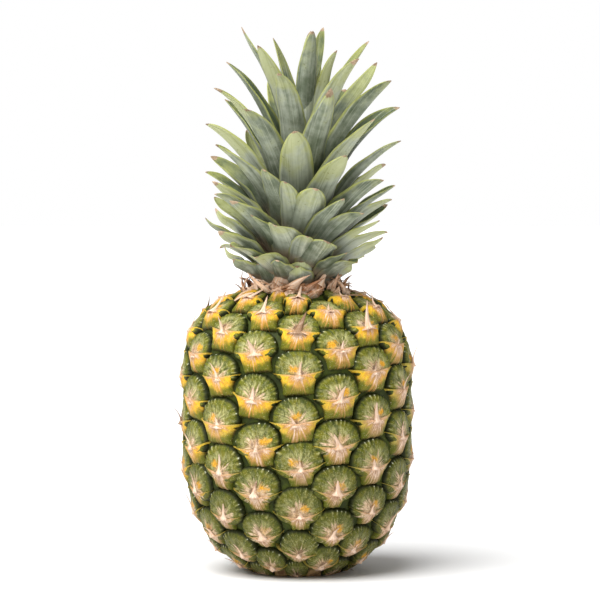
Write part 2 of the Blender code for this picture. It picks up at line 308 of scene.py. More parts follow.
def dome_finish(colours):
    """Green beaded domes with a streaked bloom, a pale middle, a scar and an amber patch."""
    f = Finish("eye_dome")
    across, along = f.attribute("eye_across"), f.attribute("eye_along")
    reach, luck, bead = f.attribute("eye_reach"), f.attribute("eye_luck"), f.attribute("eye_bead")
    place = f.place()
    height = f.axis(place, "Z")
    cloud = f.noise(place, 330.0, 4.0, 0.6)
    grain = f.noise(place, 1500.0, 2.0)
    way = f.direction(across, along, 4.2, f.vector(reach * 1.4, luck * 37.0, luck * 61.0))
    rays = f.noise(way, 1.0, 3.0, 0.6)
    streaks = f.noise(f.vector(across * 7.0, along * 2.2, luck * 50.0), 1.0, 4.0, 0.65)
    low = height.step(0.095, 0.035)
    green = f.blend(rays.step(0.38, 0.64), colours.rim, colours.lobe)
    green = f.blend(cloud.step(0.42, 0.70) * (0.6 + low * 0.2), green, (0.23, 0.20, 0.012))
    # Painted shade: the domes' greens darken towards the bottom, where less light falls from above.
    green = f.blend(low * 0.55, green, (0.062, 0.072, 0.003))
    # Painted shade: the dome's outer edge turns blackish green where it meets the groove and the
    # bract.
    edge = (reach + cloud * 0.14 - 0.07).step(0.84, 0.97)
    colour = f.blend(edge * 0.95, green, colours.crease)
    # Painted highlight: the bead crests near the rim are lightened with the bloom colour.
    crest = (bead + rays * 1.6 - 0.8).step(0.1, 1.0) * reach.hump(0.84, 0.15)
    colour = f.blend(crest * cloud.step(0.38, 0.60) * 0.60, colour, colours.bloom)
    glint = (bead + cloud * 2.0 - 1.0).step(0.5, 0.9) * reach.hump(0.915, 0.035)
    glint = glint * grain.step(0.40, 0.55)
    colour = f.blend(glint * along.step(-0.1, 0.4), colour, (0.80, 0.84, 0.62))
    # Painted shade: deep green between the beads of the dome's rim.
    bead_gap_shade = (bead + rays * 1.4 - 0.7).step(-0.2, -1.0) * reach.hump(0.90, 0.18)
    colour = f.blend(bead_gap_shade * 0.65, colour, colours.groove)
    inner = (reach + rays * 0.8 - 0.40).step(0.80, 0.50)
    bloom = inner * (0.15 + 0.85 * streaks.step(0.42, 0.60)) * (0.35 + 0.65 * rays.step(0.40, 0.58))
    bloom = bloom + inner * f.noise(place, 210.0, 2.0).step(0.50, 0.64) * 0.45 * (1.0 - bloom)
    colour = f.blend(bloom * (0.88 - low * 0.40), colour, colours.bloom)
    knot_gap = (across ** 2.0 + (along + 0.20) ** 2.0).math("SQRT")
    toward = f.direction(across, along + 0.20, 5.5,
                         f.vector(knot_gap * 0.8, luck * 23.0, luck * 11.0))
    burst = f.noise(toward, 1.0, 2.0, 0.6)
    middle = knot_gap + burst * 1.4 + cloud * 0.6 - luck * 0.20 - low * 0.04 - 0.92
    middle = middle.step(0.50, 0.18)
    pink = f.blend((burst + cloud * 0.5).step(0.62, 0.86), (0.84, 0.62, 0.42), colours.cream)
    pink = f.blend(streaks.step(0.50, 0.60) * 0.7, pink, (0.40, 0.20, 0.09))
    colour = f.blend(middle * 0.90, colour, pink)
    offset = ((across - (luck - 0.5) * 0.8) ** 2.0 + (along - 0.10) ** 2.0 * 1.6).math("SQRT")
    patch = (offset + cloud * 0.7 + rays * 0.3 - 0.5).step(0.30, 0.06)
    colour = f.blend(patch * (luck * 7.0).math("FRACT").step(0.25, 0.55), colour, colours.amber)
    threads = abs(streaks - 0.5).step(0.035, 0.0) * (reach + cloud * 0.3).step(0.75, 0.35)
    colour = f.blend(threads * 0.55, colour, colours.scar)
    gap = ((across + (luck - 0.5) * 0.3) ** 2.0 * 1.8 + (along + 0.02) ** 2.0).math("SQRT")
    scar = (gap + cloud * 1.1 + streaks * 0.6 - 0.85).step(0.14, -0.02)
    colour = f.blend(scar * 0.75, colour, colours.scar)
    colour = f.blend(grain.step(0.58, 0.68) * 0.40 * reach.step(0.95, 0.75), colour, colours.bloom)
    colour = f.blend(grain.step(0.43, 0.33) * 0.45, colour, colours.groove)
    # Painted shade: the whole dome darkens towards the bottom, where less light falls from above.
    colour = f.blend(low * 0.14, colour, (0.030, 0.024, 0.003))
    f.set(Base_Color=colour, Roughness=0.42 + 0.25 * cloud)
    ridges = (rays + burst * 0.6) * (reach * 3.0).math("MINIMUM", 1.0)
    relief = f.bump(ridges + streaks * 0.5, 0.0012, 0.9)
    f.set(Normal=f.bump(grain + cloud * 0.8, 0.0005, 0.8, relief))
    f.set(Specular_IOR_Level=0.22)
    return f.material


def bract_finish(colours):
    """Fleshy bracts with fanned veins, a papery knot and upper edge, and a green foot."""
    f = Finish("eye_bract")
    across, down = f.attribute("bract_across"), f.attribute("bract_down")
    luck = f.attribute("eye_luck")
    place = f.place()
    height = f.axis(place, "Z")
    cloud = f.noise(place, 300.0, 4.0, 0.6)
    grain = f.noise(place, 1400.0, 2.0)
    fanned = f.vector(across * 6.0 / (down + 0.45), down * 0.9, luck * 50.0)
    fan = f.noise(fanned, 1.6, 4.0, 0.65)
    fine = f.noise(fanned, 5.0, 2.0, 0.6)
    side = abs(across)
    # Painted light: the bracts turn riper and brighter towards -X, the side the key light comes
    # from, on top of their real ripening with height.
    lit_side = f.axis(place, "X") * -5.0
    ripe = (height * 9.0 + lit_side + luck * 0.40 + f.noise(place, 18.0, 2.0) * 0.8).step(1.0, 1.75)
    veined = (fan - side * 0.10 + down * 0.20).step(0.66, 0.44)
    flesh = f.blend(veined, colours.bract, colours.bract_orange)
    dull = f.blend(fan.step(0.40, 0.65), colours.bract_dull, (0.40, 0.30, 0.06))
    colour = f.blend(ripe, dull, flesh)
    colour = f.blend(abs(fine - 0.5).step(0.05, 0.0) * 0.35, colour, (0.92, 0.72, 0.30))
    wing = (side + cloud * 0.3 - 0.15).step(0.40, 0.80) * (down + cloud * 0.3).step(0.65, 0.20)
    colour = f.blend(wing * 0.75, colour, f.blend(ripe, (0.52, 0.46, 0.05), (0.95, 0.60, 0.012)))
    foot = (down + cloud * 0.5 + side * 0.14 - 0.25 - ripe * 0.02).step(0.40, 0.78)
    foot_green = f.blend(cloud.step(0.4, 0.6), colours.bract_foot, (0.16, 0.16, 0.008))
    colour = f.blend(foot * 0.95, colour, foot_green)
    waist = side + down.hump(0.55, 0.45) * 0.16 + cloud * 0.26 - 0.13
    edge = waist.step(0.74, 0.96) * (down + cloud * 0.3 - 0.15).step(0.36, 0.70)
    edge = edge * (0.95 - ripe * 0.35)
    colour = f.blend(edge, colour, colours.bract_foot)
    # Painted shade: blackish green along the bract's sides and at its lower end, where it meets the
    # neighbouring pieces.
    brim = (side + cloud * 0.08 - 0.04).step(0.91, 0.99) * down.step(0.05, 0.18)
    colour = f.blend(brim * 0.85, colour, colours.crease)
    colour = f.blend((down + cloud * 0.2 - 0.1).step(0.84, 0.98) * 0.80, colour, colours.crease)
    dryness = 1.0 - ripe * 0.70
    shoulder = height.step(0.118, 0.150)
    spread = dryness * 0.32 + (luck * 5.0).math("FRACT") * 0.20 + shoulder * 0.16 - 0.20
    toward = f.direction(across * 1.2, down * 0.9 + 0.06, 6.0,
                         f.vector(down * 0.8, luck * 29.0, luck * 13.0))
    burst = f.noise(toward, 1.0, 3.0, 0.65)
    gap = ((across * 1.15) ** 2.0 + (down * 0.85) ** 2.0).math("SQRT")
    near = gap + burst * 1.5 + cloud * 0.4 - 0.95 - spread
    halo = f.blend(ripe, (0.46, 0.27, 0.12), (0.70, 0.31, 0.05))
    colour = f.blend(near.step(0.80, 0.45) * 0.75, colour, halo)
    knot = near.step(0.50, 0.18)
    papery = f.blend(fine.step(0.40, 0.60), (0.92, 0.72, 0.56), colours.papery)
    papery = f.blend((burst + cloud * 0.5).step(0.70, 0.84) * 0.85, papery, (0.42, 0.20, 0.12))
    colour = f.blend(knot * 0.95, colour, papery)
    lip = (down + fan * 0.30 - 0.15 - dryness * 0.06).step(0.10, 0.02)
    lip_colour = f.blend(side.step(0.35, 0.75), (0.74, 0.42, 0.20), (0.46, 0.36, 0.05))
    colour = f.blend(lip * 0.70, colour, lip_colour)
    vein = abs(fine - 0.5).step(0.022, 0.0) * cloud.step(0.45, 0.60)
    colour = f.blend(vein * 0.6, colour, colours.dry)
    colour = f.blend(grain.step(0.60, 0.68) * 0.45, colour, colours.dry)
    colour = f.blend(grain.step(0.38, 0.30) * 0.30, colour, (0.92, 0.76, 0.45))
    # Painted shade: the bracts darken towards the bottom, where less light falls from above.
    colour = f.blend(height.step(0.095, 0.035) * 0.14, colour, (0.060, 0.040, 0.004))
    f.set(Base_Color=colour, Roughness=0.45 + 0.25 * cloud)
    relief = f.bump(fan + fine * 0.3 + burst * 0.8, 0.0012, 0.9)
    f.set(Normal=f.bump(grain + cloud, 0.0003, 0.5, relief))
    f.set(Specular_IOR_Level=0.24)
    return f.material


def papery_finish(name, pale, dark, browning):
    """Dry papery tissue: pale with brown streaks, darker where it has browned."""
    f = Finish(name)
    along, luck = f.attribute("dry_along"), f.attribute("eye_luck")
    across = f.attribute("dry_across")
    place = f.place()
    cloud = f.noise(place, 420.0, 4.0, 0.6)
    fibre = f.noise(f.vector(across * 3.0, along * 0.9, luck * 60.0), 2.4, 3.0, 0.6)
    colour = f.blend(fibre.step(0.35, 0.65), (0.90, 0.72, 0.58), pale)
    side = abs(across)
    tint = (cloud + luck * 0.55 + fibre * 0.4 + along * 0.3 + browning - 0.85).step(0.40, 0.80)
    colour = f.blend((tint + side.step(0.6, 1.0) * 0.4) * 0.85, colour, dark)
    f.set(Base_Color=colour, Roughness=0.72 + 0.2 * cloud)
    f.set(Normal=f.bump(fibre + cloud * 0.4, 0.0005, 0.8))
    f.set(Specular_IOR_Level=0.25)
    return f.material


def leaf_finish(colours):
    """Stiff grey-green leaves with lengthwise ribs, a whitish bloom and dry tips."""
    f = Finish("crown_leaf_green")
    across, along = f.attribute("leaf_across"), f.attribute("leaf_along")
    width, length = f.attribute("leaf_offset"), f.attribute("leaf_distance")
    luck, back = f.attribute("leaf_luck"), f.attribute("leaf_back")
    place = f.place()
    cloud = f.noise(place, 90.0, 4.0)
    patch = f.noise(place, 260.0, 3.0, 0.6)
    grain = f.noise(place, 1100.0, 3.0)
    ribs = f.noise(f.vector(width * 1500.0, length * 18.0, luck * 70.0), 1.0, 3.0, 0.6)
    streaks = f.noise(f.vector(width * 380.0, length * 14.0, luck * 90.0), 1.0, 2.0, 0.5)
    bloom = back * (0.62 + 0.5 * (streaks - 0.5)) + (1.0 - back) * 0.25
    bloom = bloom + (cloud - 0.5) * 0.9 + (patch - 0.5) * 0.5 + (luck - 0.5) * 0.7
    colour = f.blend(bloom.step(0.0, 1.0), colours.leaf, colours.leaf_bloom)
    colour = f.blend(ribs.step(0.52, 0.70) * 0.45, colour, colours.leaf)
    colour = f.blend(ribs.step(0.44, 0.32) * 0.40, colour, (0.66, 0.69, 0.55))
    side = abs(across)
    margin = (side + cloud * 0.20 - 0.10).step(0.82, 0.98)
    colour = f.blend(margin * 0.75, colour, colours.leaf_margin)
    colour = f.blend(side.hump(0.72, 0.16) * 0.35, colour, (0.045, 0.065, 0.030))
    sun = (along + cloud * 1.2 + luck * 0.5 - 0.85).step(0.60, 1.05)
    colour = f.blend(sun * 0.55, colour, colours.leaf_margin)
    # Partly real and partly painted shade: each leaf darkens towards its foot, which is greener
    # with less bloom and lies in the shade of the leaves in front.
    depth = (along + (streaks - 0.5) * 0.10 + (cloud - 0.5) * 0.15).step(0.66, 0.18)
    colour = f.blend(depth * 0.75, colour, (0.028, 0.040, 0.020))
    blush = (along - cloud * 0.30).step(0.24, 0.0) * (0.5 + 0.5 * luck)
    colour = f.blend(blush * 0.7, colour, (0.46, 0.31, 0.20))
    specks = f.noise(place, 620.0, 2.0).step(0.64, 0.72) * cloud.step(0.42, 0.58)
    colour = f.blend(specks * 0.60, colour, (0.13, 0.14, 0.03))
    wither = (f.attribute("leaf_dry") + patch * 1.1 + ribs * 0.6 - 0.85).step(0.35, 0.60)
    dead = f.blend((cloud + grain * 0.5).step(0.55, 0.90), (0.52, 0.38, 0.25), (0.20, 0.13, 0.075))
    colour = f.blend(wither, colour, dead)
    f.set(Base_Color=colour, Roughness=0.50 + 0.18 * cloud + 0.2 * wither)
    relief = f.bump(ribs + streaks * 0.6, 0.0005, 0.8)
    f.set(Normal=f.bump(grain + patch, 0.00025, 0.5, relief))
    f.set(Specular_IOR_Level=0.35)
    return f.material


def stalk_finish(colours):
    """Dry cut stalk: pale fibres with darker bundles towards the middle."""
    f = Finish("cut_stalk_face")
    place = f.place()
    bundles = f.node("ShaderNodeTexVoronoi", inputs={"Vector": place, "Scale": 700.0})
    cloud = f.noise(place, 160.0, 4.0)
    grain = f.noise(place, 1400.0, 2.0)
    colour = f.blend(bundles.step(0.10, 0.35), colours.dry, (0.58, 0.42, 0.24))
    colour = f.blend(cloud.step(0.45, 0.70) * 0.6, colour, (0.36, 0.25, 0.12))
    f.set(Base_Color=colour, Roughness=0.8 + 0.15 * grain)
    f.set(Normal=f.bump(bundles + grain * 0.5, 0.0006, 0.9))
    return f.material


def stem_finish(colours):
    """Fibrous crown stem, seen only between the leaves' feet, in dark browns that are painted shade
    of the gap behind the neck scraps.
    """
    f = Finish("crown_stem_fibre")
    place = f.place()
    cloud = f.noise(place, 200.0, 4.0)
    colour = f.blend(cloud.step(0.35, 0.65), colours.dry, (0.20, 0.13, 0.06))
    f.set(Base_Color=colour, Roughness=0.75 + 0.2 * cloud)
    f.set(Normal=f.bump(cloud, 0.0006, 0.8))
    return f.material


def floor_finish(colours):
    """Plain pale floor."""
    f = Finish("pale_floor")
    f.set(Base_Color=tuple(colours.floor), Roughness=0.7)
    return f.material


# ---------------------------------------------------------------- meshes

def add_piece(name, points, faces, material, numbers=None, places=None):
    """A smooth-shaded object from points and faces, with numbers kept at its points."""
    mesh = bpy.data.meshes.new(name)
    mesh.from_pydata([tuple(p) for p in points], [], [tuple(f) for f in faces])
    for key, values in (numbers or {}).items():
        layer = mesh.attributes.new(key, "FLOAT", "POINT")
        layer.data.foreach_set("value", np.asarray(values, dtype=np.float32))
    if places is not None:
        layer = mesh.uv_layers.new(name="OFBake")
        layer.data.foreach_set("uv", np.asarray(places, dtype=np.float32).ravel())
    mesh.materials.append(material)
    mesh.shade_smooth()
    mesh.validate()
    piece = bpy.data.objects.new(name, mesh)
    bpy.context.scene.collection.objects.link(piece)
    return piece


def ring_quads(first, rings, turns):
    """Faces between closed rings of points that follow one another from a first point."""
    here = np.arange(turns)
    after = (here + 1) % turns
    start = first + np.arange(rings - 1)[:, None] * turns
    return np.stack([start + here, start + after, start + turns + after, start + turns + here],
                    axis=-1).reshape(-1, 4)


class Shell:
    """Faces of a closed blade: an upper grid, a lower one after it, and the edge between.

    Each corner also has a place on the blade's own square of a colour map; the lower grid takes
    the share of it that is given.
    """

    def __init__(self, rows, columns, lower_share=0.5):
        self.rows, self.columns = rows, columns
        count = rows * columns
        self.count = 2 * count
        corner = (np.arange(rows - 1)[:, None] * columns + np.arange(columns - 1)).ravel()
        upper = np.stack([corner, corner + columns, corner + columns + 1, corner + 1], axis=1)
        lower = upper[:, ::-1] + count
        rim = list(range(columns))
        rim += [r * columns + columns - 1 for r in range(1, rows)]
        rim += [(rows - 1) * columns + i for i in range(columns - 2, -1, -1)]
        rim += [r * columns for r in range(rows - 2, 0, -1)]
        rim = np.array(rim)
        after = np.roll(rim, -1)
        edge = np.stack([after + count, rim + count, rim, after], axis=1)
        self.faces = np.concatenate([upper, lower, edge])
        u = np.linspace(0.02, 0.98, columns)[None, :].repeat(rows, axis=0)
        v = np.linspace(0, 1, rows)[:, None].repeat(columns, axis=1)
        split = 1 - lower_share
        top = np.stack([u, 0.015 + (split - 0.03) * v], axis=-1).reshape(-1, 2)
        bottom = np.stack([u, split + 0.015 + (lower_share - 0.03) * v], axis=-1).reshape(-1, 2)
        middle = top.mean(axis=0)
        outward = top + 0.012 * np.sign(top - middle)
        places = np.concatenate([top, bottom])
        rolled = np.stack([outward[after], outward[rim], top[rim], top[after]], axis=1)
        self.places = np.concatenate([places[upper], places[lower], rolled])


class Gathered:
    """Many like bodies gathered into one object, each with its own square of the colour map."""

    def __init__(self, body, total):
        self.body = body
        self.side = math.ceil(math.sqrt(total))
        self.points, self.faces, self.places, self.numbers = [], [], [], {}

    def add(self, points, numbers):
        index = len(self.points)
        cell = np.array([index % self.side, index // self.side])
        self.faces += (self.body.faces + index * self.body.count).tolist()
        self.places.append(((self.body.places + cell) / self.side).reshape(-1, 2))
        self.points.append(points)
        for key, values in numbers.items():
            spread = np.broadcast_to(values, (self.body.count,))
            self.numbers.setdefault(key, []).append(spread)

    def build(self, name, material):
        numbers = {key: np.concatenate(parts) for key, parts in self.numbers.items()}
        piece = add_piece(name, np.concatenate(self.points), self.faces, material, numbers,
                          np.concatenate(self.places))
        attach(piece, "root")
        return piece


# ---------------------------------------------------------------- fruit

def barrel_radius(height):
    """Outer radius of the fruit, over the crests of its eyes, at heights in an array."""
    def half(reach, span_height, end_radius, power):
        closed = (1 - (end_radius / FRUIT_RADIUS) ** (1 / END_ROUNDING)) ** (1 / power)
        part = np.clip(reach * closed / span_height, 0.0, 1.0)
        return FRUIT_RADIUS * (1 - part ** power) ** END_ROUNDING
    lower = half(WIDEST_HEIGHT - height, WIDEST_HEIGHT, REST_RADIUS, LOWER_POWER)
    above = FRUIT_HEIGHT - WIDEST_HEIGHT
    upper = half(height - WIDEST_HEIGHT, above, NECK_RADIUS, UPPER_POWER)
    return np.where(height < WIDEST_HEIGHT, lower, upper)


class Barrel:
    """The fruit's outline, read by arc length from the resting ring up to the neck."""

    def __init__(self, steps=4000):
        self.height = FRUIT_HEIGHT * (0.5 - 0.5 * np.cos(np.linspace(0, np.pi, steps)))
        self.radius = barrel_radius(self.height)
        pieces = np.hypot(np.diff(self.radius), np.diff(self.height))
        self.arc = np.concatenate([[0.0], np.cumsum(pieces)])
        self.length = self.arc[-1]
        self.rise = np.gradient(self.height, self.arc)
        self.widening = np.gradient(self.radius, self.arc)

    def place(self, azimuth, arc, lift):
        """Points at an azimuth and arc length, lifted off the outline along its normal."""
        under = np.minimum(arc, 0.0) * 0.8
        arc = np.clip(arc, 0.0, self.length)
        rise = np.interp(arc, self.arc, self.rise)
        widening = np.interp(arc, self.arc, self.widening)
        radius = np.interp(arc, self.arc, self.radius) + lift * rise + under
        height = np.interp(arc, self.arc, self.height) - lift * widening
        height = FRUIT_LOW[2] + np.maximum(height, np.where(under < 0, 0.0006, 0.0))
        return np.stack([radius * np.sin(azimuth), -radius * np.cos(azimuth), height], axis=-1)


BARREL = Barrel()
END_FADE = 0.0060
LOWEST_EYE_ARC = -0.0030
TOP_EYE_GAP = 0.0035
# Eyes grow and flatten below one arc length; points grow taller above another.
LOW_EYES_END = 0.1150
LOW_EYES_FADE = 0.0550
TALL_POINTS_ARC = 0.1450
TALL_POINTS_FADE = 0.030
CURLED_POINTS_SHARE = 0.14
DOME_MIDDLE = 0.0016
SKIRT_DEPTH = 0.0008
SKIRT_SPREAD = 1.01
SEAT_GAP = 0.0003
RIND_COLUMNS = EYE_FILES * 14
RIND_ROWS = 130
# Each kind of piece draws its small differences from its own run of seeds.
EYE_SEED = 4000
BRACT_SEED = 7000
POINT_SEED = 9000
NECK_SEED = 12000
STALK_SEED = 31


def end_fade(arc):
    """1 over most of the fruit, falling to 0 at its two ends."""
    return np.clip(np.minimum(arc, BARREL.length - arc) / END_FADE, 0.0, 1.0)


class Eye:
    """One eye: its place in the spiral and the small ways in which it differs from the rest."""

    def __init__(self, index):
        dice = random.Random(EYE_SEED + index)
        self.azimuth = index * EYE_TURN + dice.uniform(-0.022, 0.022)
        self.arc = FIRST_EYE_ARC + index * EYE_RISE + dice.uniform(-0.0009, 0.0009)
        self.size = dice.uniform(0.95, 1.05)
        self.tilt = dice.uniform(-0.13, 0.13)
        self.luck = dice.random()
        self.beads = dice.choice((22, 24, 26, 28))
        self.phase = dice.uniform(0, math.tau)
        self.lift = dice.uniform(-0.0005, 0.0005)
        low = min(1.0, max(0.0, (LOW_EYES_END - self.arc) / LOW_EYES_FADE))
        self.low = low * low * (3 - 2 * low)

    def world(self, across, along, lift):
        """Points from distances across and along, and a lift over the groove's floor."""
        cos, sin = math.cos(self.tilt), math.sin(self.tilt)
        azimuth = self.azimuth + (across * cos - along * sin) / EYE_SCALE_RADIUS
        arc = self.arc + along * cos + across * sin
        depth = bpy.context.scene.pineapple_sizes.eye_depth
        return BARREL.place(azimuth, arc, (lift + self.lift - depth) * end_fade(arc) + 0.0002)


def all_eyes():
    """The eyes from the lowest whole one to those tucked under the crown."""
    lowest = math.ceil((LOWEST_EYE_ARC - FIRST_EYE_ARC) / EYE_RISE)
    highest = math.floor((BARREL.length - TOP_EYE_GAP - FIRST_EYE_ARC) / EYE_RISE)
    return [Eye(index) for index in range(lowest, highest + 1)]


def cap_ring(radius, height, azimuth):
    return np.stack([radius * np.sin(azimuth), -radius * np.cos(azimuth),
                     np.full_like(azimuth, height)], axis=-1)


class PINEAPPLE_OT_rind(Operator):
    """Make the fruit's skin, which shows in the grooves and at the two ends"""

    bl_idname = "pineapple.rind"
    bl_label = "Rind"

    def execute(self, context):
        sizes, colours = context.scene.pineapple_sizes, context.scene.pineapple_colours
        columns, rows = RIND_COLUMNS, RIND_ROWS
        azimuth = np.linspace(0, math.tau, columns, endpoint=False)
        arc = np.linspace(0, BARREL.length, rows)[:, None]
        wave = 0.0004 * np.sin(EYE_FILES * azimuth[None, :] + arc * 260)
        lift = (wave - sizes.eye_depth) * end_fade(arc)
        side = BARREL.place(azimuth[None, :], arc, lift).reshape(-1, 3)
        hollow = STALK_HIGH[0] + SEAT_GAP
        roof = STALK_HIGH[2] + SEAT_GAP
        pit = cap_ring(hollow, roof, azimuth)
        mouth = cap_ring(hollow, FRUIT_LOW[2], azimuth)
        points = np.concatenate([pit, mouth, side, [[0, 0, roof], [0, 0, FRUIT_HIGH[2]]]])
        rings = rows + 2
        here = np.arange(columns)
        after = (here + 1) % columns
        floor_point, top_point, top = rings * columns, rings * columns + 1, (rings - 1) * columns
        fans = [(floor_point, b, a) for a, b in zip(here, after)]
        fans += [(top + a, top + b, top_point) for a, b in zip(here, after)]
        share = np.arange(rings) / (rings - 1)
        left = np.broadcast_to(here / columns, (rings - 1, columns))
        low = np.broadcast_to(share[:-1, None], left.shape)
        high = np.broadcast_to(share[1:, None], left.shape)
        right = left + 1 / columns
        places = np.stack([left, low, right, low, right, high, left, high], axis=-1)
        ends = [(0.0, 0.0)] * 3 * columns + [(1.0, 1.0)] * 3 * columns
        places = np.concatenate([places.reshape(-1, 2), ends])
        faces = list(ring_quads(0, rings, columns)) + fans
        piece = add_piece("fruit_rind", points, faces, groove_finish(colours), None, places)
        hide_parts("fruit_body")
        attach(piece, "root")
        return {"FINISHED"}


class DomeBody:
    """Faces of one closed dome: rings about a middle point, and a flat underside."""

    turns = 104
    rings = np.array([0.12, 0.26, 0.40, 0.53, 0.64, 0.73, 0.81, 0.88, 0.93, 0.965, 0.988, 1.0])

    def __init__(self):
        rows = len(self.rings) + 1
        here = np.arange(self.turns)
        quads = ring_quads(1, rows, self.turns)[:, [0, 3, 2, 1]]
        last = 1 + (rows - 1) * self.turns
        even = here[::2]
        middle = np.zeros_like(even)
        under = np.full_like(even, 1 + rows * self.turns)
        self.count = 2 + rows * self.turns
        third = (even + 2) % self.turns
        cap = np.stack([middle, 1 + even, 2 + even, 1 + third], axis=1)
        base = np.stack([under, last + third, last + 1 + even, last + even], axis=1)
        self.faces = np.concatenate([quads, cap, base])
        turn = here * math.tau / self.turns
        reach = np.append(self.rings, 1.05)[:, None] * 0.45
        spread = np.stack([0.5 + reach * np.cos(turn), 0.5 + reach * np.sin(turn)], axis=-1)
        spots = np.concatenate([[[0.5, 0.5]], spread.reshape(-1, 2), [[0.98, 0.98]]])
        self.places = spots[self.faces]


class PINEAPPLE_OT_domes(Operator):
    """Make the beaded dome of every eye, in two halves of the fruit"""

    bl_idname = "pineapple.domes"
    bl_label = "Domes"

    def dome(self, eye, body, sizes):
        """Points of one dome and the numbers that its finish reads."""
        turn = np.linspace(0, math.tau, body.turns, endpoint=False)[None, :]
        reach = body.rings[:, None]
        cos, sin = np.cos(turn), np.sin(turn)
        bead = np.cos(eye.beads * turn + 1.6 * np.sin(2 * turn + eye.phase)
                      + 1.1 * np.sin(5 * turn - eye.phase))
        bead = bead * (0.65 + 0.35 * np.sin(3 * turn + 5 * eye.luck))
        upper = np.clip((sin + 0.45) / 0.35, 0.0, 1.0)
        fall = sizes.eye_fall * (1 + 0.40 * eye.low)
        high = np.where(sin > 0, sizes.eye_rise * (1 + 0.06 * eye.low), fall)
        half_width = sizes.eye_half_width * (1.03 + 0.09 * eye.low)
        edge = (np.abs(cos / half_width) ** 2.3 + np.abs(sin / high) ** 2.3) ** (-1 / 2.3)
        edge = edge * eye.size * (1 + 0.022 * np.cos(2 * turn + eye.phase)
                                  + 0.018 * np.cos(3 * turn - 2 * eye.phase))
        edge = edge * (1 + 0.020 * bead * upper)
        rim = np.clip(1 - np.abs(reach - 0.87) / 0.16, 0.0, 1.0)
        lift = sizes.eye_depth * (1 - reach ** 5) ** 0.5
        lift = lift + 0.00034 * bead * upper * rim
        lift = lift - 0.0008 * np.exp(-((reach - 0.48) / 0.24) ** 2)
        belt = np.clip(1 - np.abs(reach - 0.5) / 0.3, 0, 1)
        lift = lift + 0.00016 * np.cos(9 * turn + eye.phase) * belt
        lift = lift - 0.0007 * reach * sin * (1 - reach ** 8)
        x = reach * edge * cos
        y = DOME_MIDDLE + reach * edge * sin
        shape = x.shape
        skirt = (x[-1:] * SKIRT_SPREAD, DOME_MIDDLE + (y[-1:] - DOME_MIDDLE) * SKIRT_SPREAD,
                 np.full((1, body.turns), -SKIRT_DEPTH))
        middle = sizes.eye_depth - 0.0006
        xs = np.concatenate([[0.0], x.ravel(), skirt[0].ravel(), [0.0]])
        ys = np.concatenate([[DOME_MIDDLE], y.ravel(), skirt[1].ravel(), [DOME_MIDDLE]])
        lifts = np.concatenate([[middle], lift.ravel(), skirt[2].ravel(), [-SKIRT_DEPTH]])

        def whole(values, inner, outer):
            flat = np.broadcast_to(values, shape).ravel()
            return np.concatenate([[inner], flat, np.full(body.turns, outer), [outer]])

        numbers = {
            "eye_across": xs / sizes.eye_half_width,
            "eye_along": (ys - DOME_MIDDLE) / sizes.eye_rise,
            "eye_reach": whole(reach, 0.0, 1.0),
            "eye_bead": whole(bead * upper, 0.0, -1.0),
            "eye_luck": eye.luck,
        }
        return eye.world(xs, ys, lifts), numbers

    def execute(self, context):
        sizes, colours = context.scene.pineapple_sizes, context.scene.pineapple_colours
        body = DomeBody()
        finish = dome_finish(colours)
        eyes = all_eyes()
        for name, first in (("eye_domes_even", 0), ("eye_domes_odd", 1)):
            gathered = Gathered(body, len(eyes[first::2]))
            for eye in eyes[first::2]:
                gathered.add(*self.dome(eye, body, sizes))
            gathered.build(name, finish)
        return {"FINISHED"}


class PINEAPPLE_OT_bracts(Operator):
    """Make the winged fleshy bract under every eye"""

    bl_idname = "pineapple.bracts"
    bl_label = "Bracts"

    def execute(self, context):
        sizes, colours = context.scene.pineapple_sizes, context.scene.pineapple_colours
        shell = Shell(13, 25, 0.12)
        u = np.linspace(-1, 1, shell.columns)[None, :]
        v = np.linspace(0, 1, shell.rows)[:, None]
        top, length = 0.0012, sizes.bract_length
        fall = top - (length + top) * v
        side = np.abs(u)
        lift = 0.0047 - 0.0030 * v ** 1.8 - 0.0011 * side ** 2
        lift = lift - 0.0016 * side ** 4 * (1 - v)
        lift = lift - 0.0024 * np.clip((side - 0.80) / 0.20, 0, 1) ** 2
        lift = lift - 0.0014 * np.clip((v - 0.80) / 0.20, 0, 1) ** 2
        eyes = all_eyes()
        gathered = Gathered(shell, len(eyes))
        for number, eye in enumerate(eyes):
            dice = random.Random(BRACT_SEED + number)
            stretch = dice.uniform(0.92, 1.07)
            bow = dice.uniform(-0.08, 0.08)
            sag = dice.uniform(-0.0006, 0.0006)
            waist = 0.0080 - 0.0036 * eye.low
            wing = 0.0144 + 0.0016 * eye.low
            half = waist + (wing - waist) * np.exp((fall - top) / (0.0034 + 0.0014 * eye.low))
            half = half + (0.0014 - 0.0008 * eye.low) * v ** 3
            across = u * half
            vee = 0.0018 + 0.0020 * eye.low
            along = fall - vee * (1 - side ** 1.3) * (1 - v) ** 2 - 0.0008 * side ** 3 * v ** 2
            x = across * stretch * eye.size + bow * along
            y = along * eye.size + sag * u * (1 - v)
            waves = dice.uniform(7, 11)
            crease = 0.00022 * np.cos(u * waves / (0.45 + 0.55 * v) + eye.phase) * (0.4 + v)
            upper = eye.world(x, y, lift + crease)
            under = eye.world(x, y, np.minimum(lift * 0.2 - 0.0012, 0.0))
            points = np.concatenate([upper.reshape(-1, 3), under.reshape(-1, 3)])
            numbers = {
                "bract_across": np.tile(np.broadcast_to(u, along.shape).ravel(), 2),
                "bract_down": np.tile(np.broadcast_to(v, along.shape).ravel(), 2),
                "eye_luck": eye.luck,
            }
            gathered.add(points, numbers)
        gathered.build("eye_bracts", bract_finish(colours))
        return {"FINISHED"}


